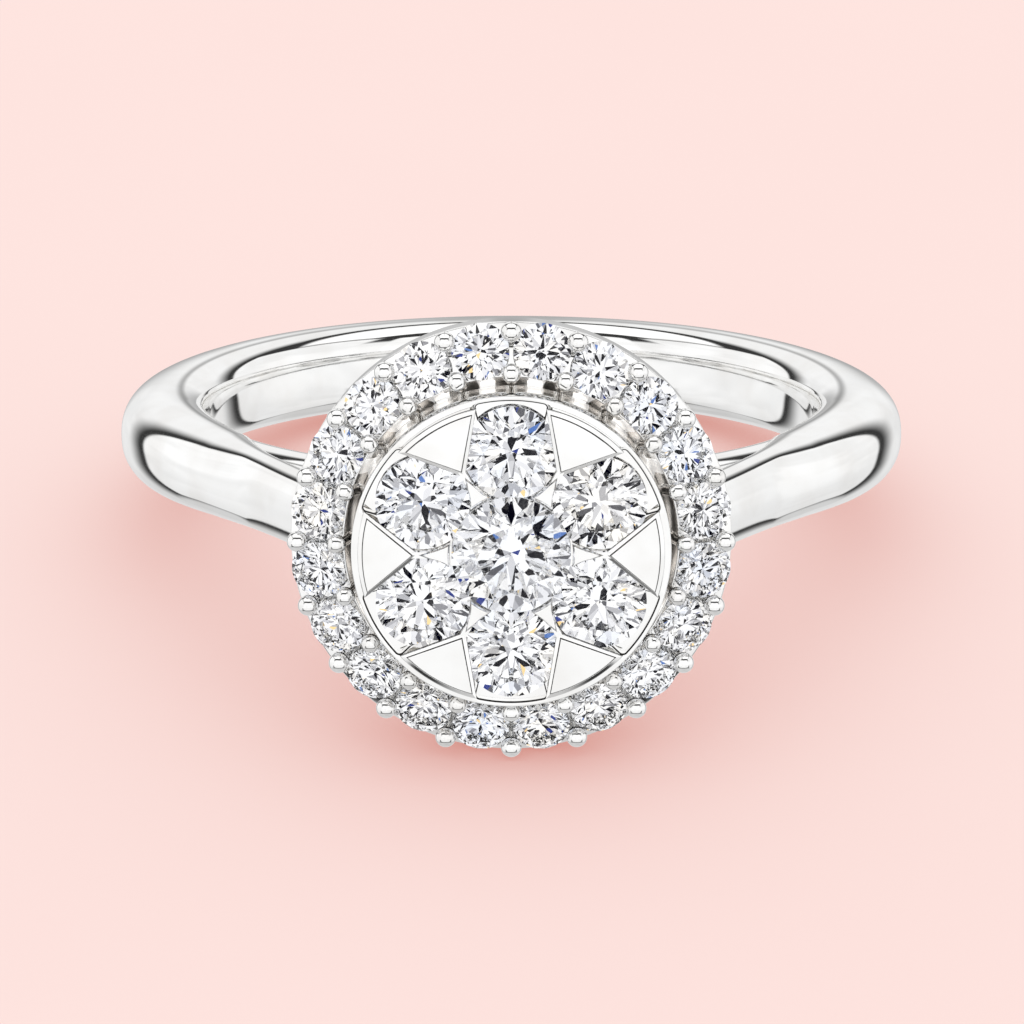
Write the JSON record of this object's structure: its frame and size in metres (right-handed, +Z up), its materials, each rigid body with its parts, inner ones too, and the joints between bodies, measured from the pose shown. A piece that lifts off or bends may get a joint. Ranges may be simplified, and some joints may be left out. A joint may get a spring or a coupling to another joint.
{
  "type": "cluster halo ring",
  "caption": "Polished white metal finger ring with a round cluster of brilliants in a raised cup, a sloping halo of smaller stones in bead prongs, and split shoulders.",
  "frame": {"origin": "on the ground, under the middle of the box around the resting ring", "axes": "+Z up; the ring lies on its side and its head points along -Y, a little upwards; +X is to the right seen from the head"},
  "size_m": [0.0212, 0.0242, 0.0111],
  "materials": {
    "white_gold": "mirror polished white gold",
    "diamond": "polished facets"
  },
  "bodies": {
    "root": {"ring_setting": "white_gold", "centre_stone": "diamond", "cluster_stone_1": "diamond", "cluster_stone_2": "diamond", "cluster_stone_3": "diamond", "cluster_stone_4": "diamond", "cluster_stone_5": "diamond", "cluster_stone_6": "diamond", "halo_stone_01": "diamond", "halo_stone_02": "diamond", "halo_stone_03": "diamond", "halo_stone_04": "diamond", "halo_stone_05": "diamond", "halo_stone_06": "diamond", "halo_stone_07": "diamond", "halo_stone_08": "diamond", "halo_stone_09": "diamond", "halo_stone_10": "diamond", "halo_stone_11": "diamond", "halo_stone_12": "diamond", "halo_stone_13": "diamond", "halo_stone_14": "diamond", "halo_stone_15": "diamond", "halo_stone_16": "diamond", "halo_stone_17": "diamond", "halo_stone_18": "diamond", "halo_stone_19": "diamond", "halo_stone_20": "diamond"}
  },
  "joints": []
}
